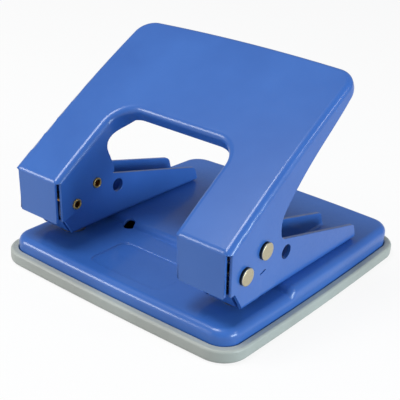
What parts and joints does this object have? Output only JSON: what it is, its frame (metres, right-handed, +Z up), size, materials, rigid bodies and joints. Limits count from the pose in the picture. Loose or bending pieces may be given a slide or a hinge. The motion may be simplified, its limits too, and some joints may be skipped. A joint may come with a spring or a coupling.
{
  "type": "paper drill",
  "caption": "Two-hole desk paper punch: windowed lever handle on a pair of channel brackets, stepped sheet-metal base and clip-on chip tray.",
  "frame": {"origin": "centre of the chip tray's underside, on the table", "axes": "+X to the right along the hinge, +Y from the paper slots to the rear, +Z up"},
  "size_m": [0.1126, 0.1234, 0.0854],
  "materials": {
    "blue_enamel": "satin to semi-gloss mid-blue stove enamel over pressed steel",
    "grey_plastic": "light grey slightly translucent moulded polyethylene",
    "rivet_metal": "pale nickel-washed brass, lightly brushed, brighter rim",
    "plain_steel": "ground or zinc-plated steel",
    "spring_wire": "drawn spring wire"
  },
  "bodies": {
    "tray": {"chip_tray": "grey_plastic"},
    "base": {"base_plate": "blue_enamel", "bracket_rivets": "plain_steel", "left_bracket": "blue_enamel", "left_guide_bush": "plain_steel", "left_die": "plain_steel", "left_return_spring": "spring_wire", "right_bracket": "blue_enamel", "right_guide_bush": "plain_steel", "right_die": "plain_steel", "right_return_spring": "spring_wire"},
    "handle": {"handle": "blue_enamel", "left_pivot_rivet": "rivet_metal", "left_drive_rivet": "rivet_metal", "left_pivot_spacer": "plain_steel", "left_drive_spacer": "plain_steel", "right_pivot_rivet": "rivet_metal", "right_drive_rivet": "rivet_metal", "right_pivot_spacer": "plain_steel", "right_drive_spacer": "plain_steel"},
    "left_punch": {"left_punch_pin": "plain_steel", "left_spring_washer": "plain_steel"},
    "right_punch": {"right_punch_pin": "plain_steel", "right_spring_washer": "plain_steel"}
  },
  "joints": [
    {"name": "tray_release", "type": "slide", "parent": "tray", "child": "base", "axis": [0, 0, 1], "range_m": [0, 0.012]},
    {"name": "handle_hinge", "type": "hinge", "parent": "base", "child": "handle", "pos_m": [0, -0.0478, 0.0284], "axis": [-1, 0, 0], "range_deg": [0, 30], "stiffness_Nm_per_rad": 0.15, "springref_deg": -34.38},
    {"name": "left_punch_slide", "type": "slide", "parent": "base", "child": "left_punch", "axis": [0, 0, -1], "range_m": [0, 0.00595], "deforming": ["left_return_spring"]},
    {"name": "right_punch_slide", "type": "slide", "parent": "base", "child": "right_punch", "axis": [0, 0, -1], "range_m": [0, 0.00595], "deforming": ["right_return_spring"]}
  ],
  "couplings": [
    {"joint": "left_punch_slide", "follows": "handle_hinge", "m_per_rad": 0.011358},
    {"joint": "right_punch_slide", "follows": "handle_hinge", "m_per_rad": 0.011358}
  ]
}
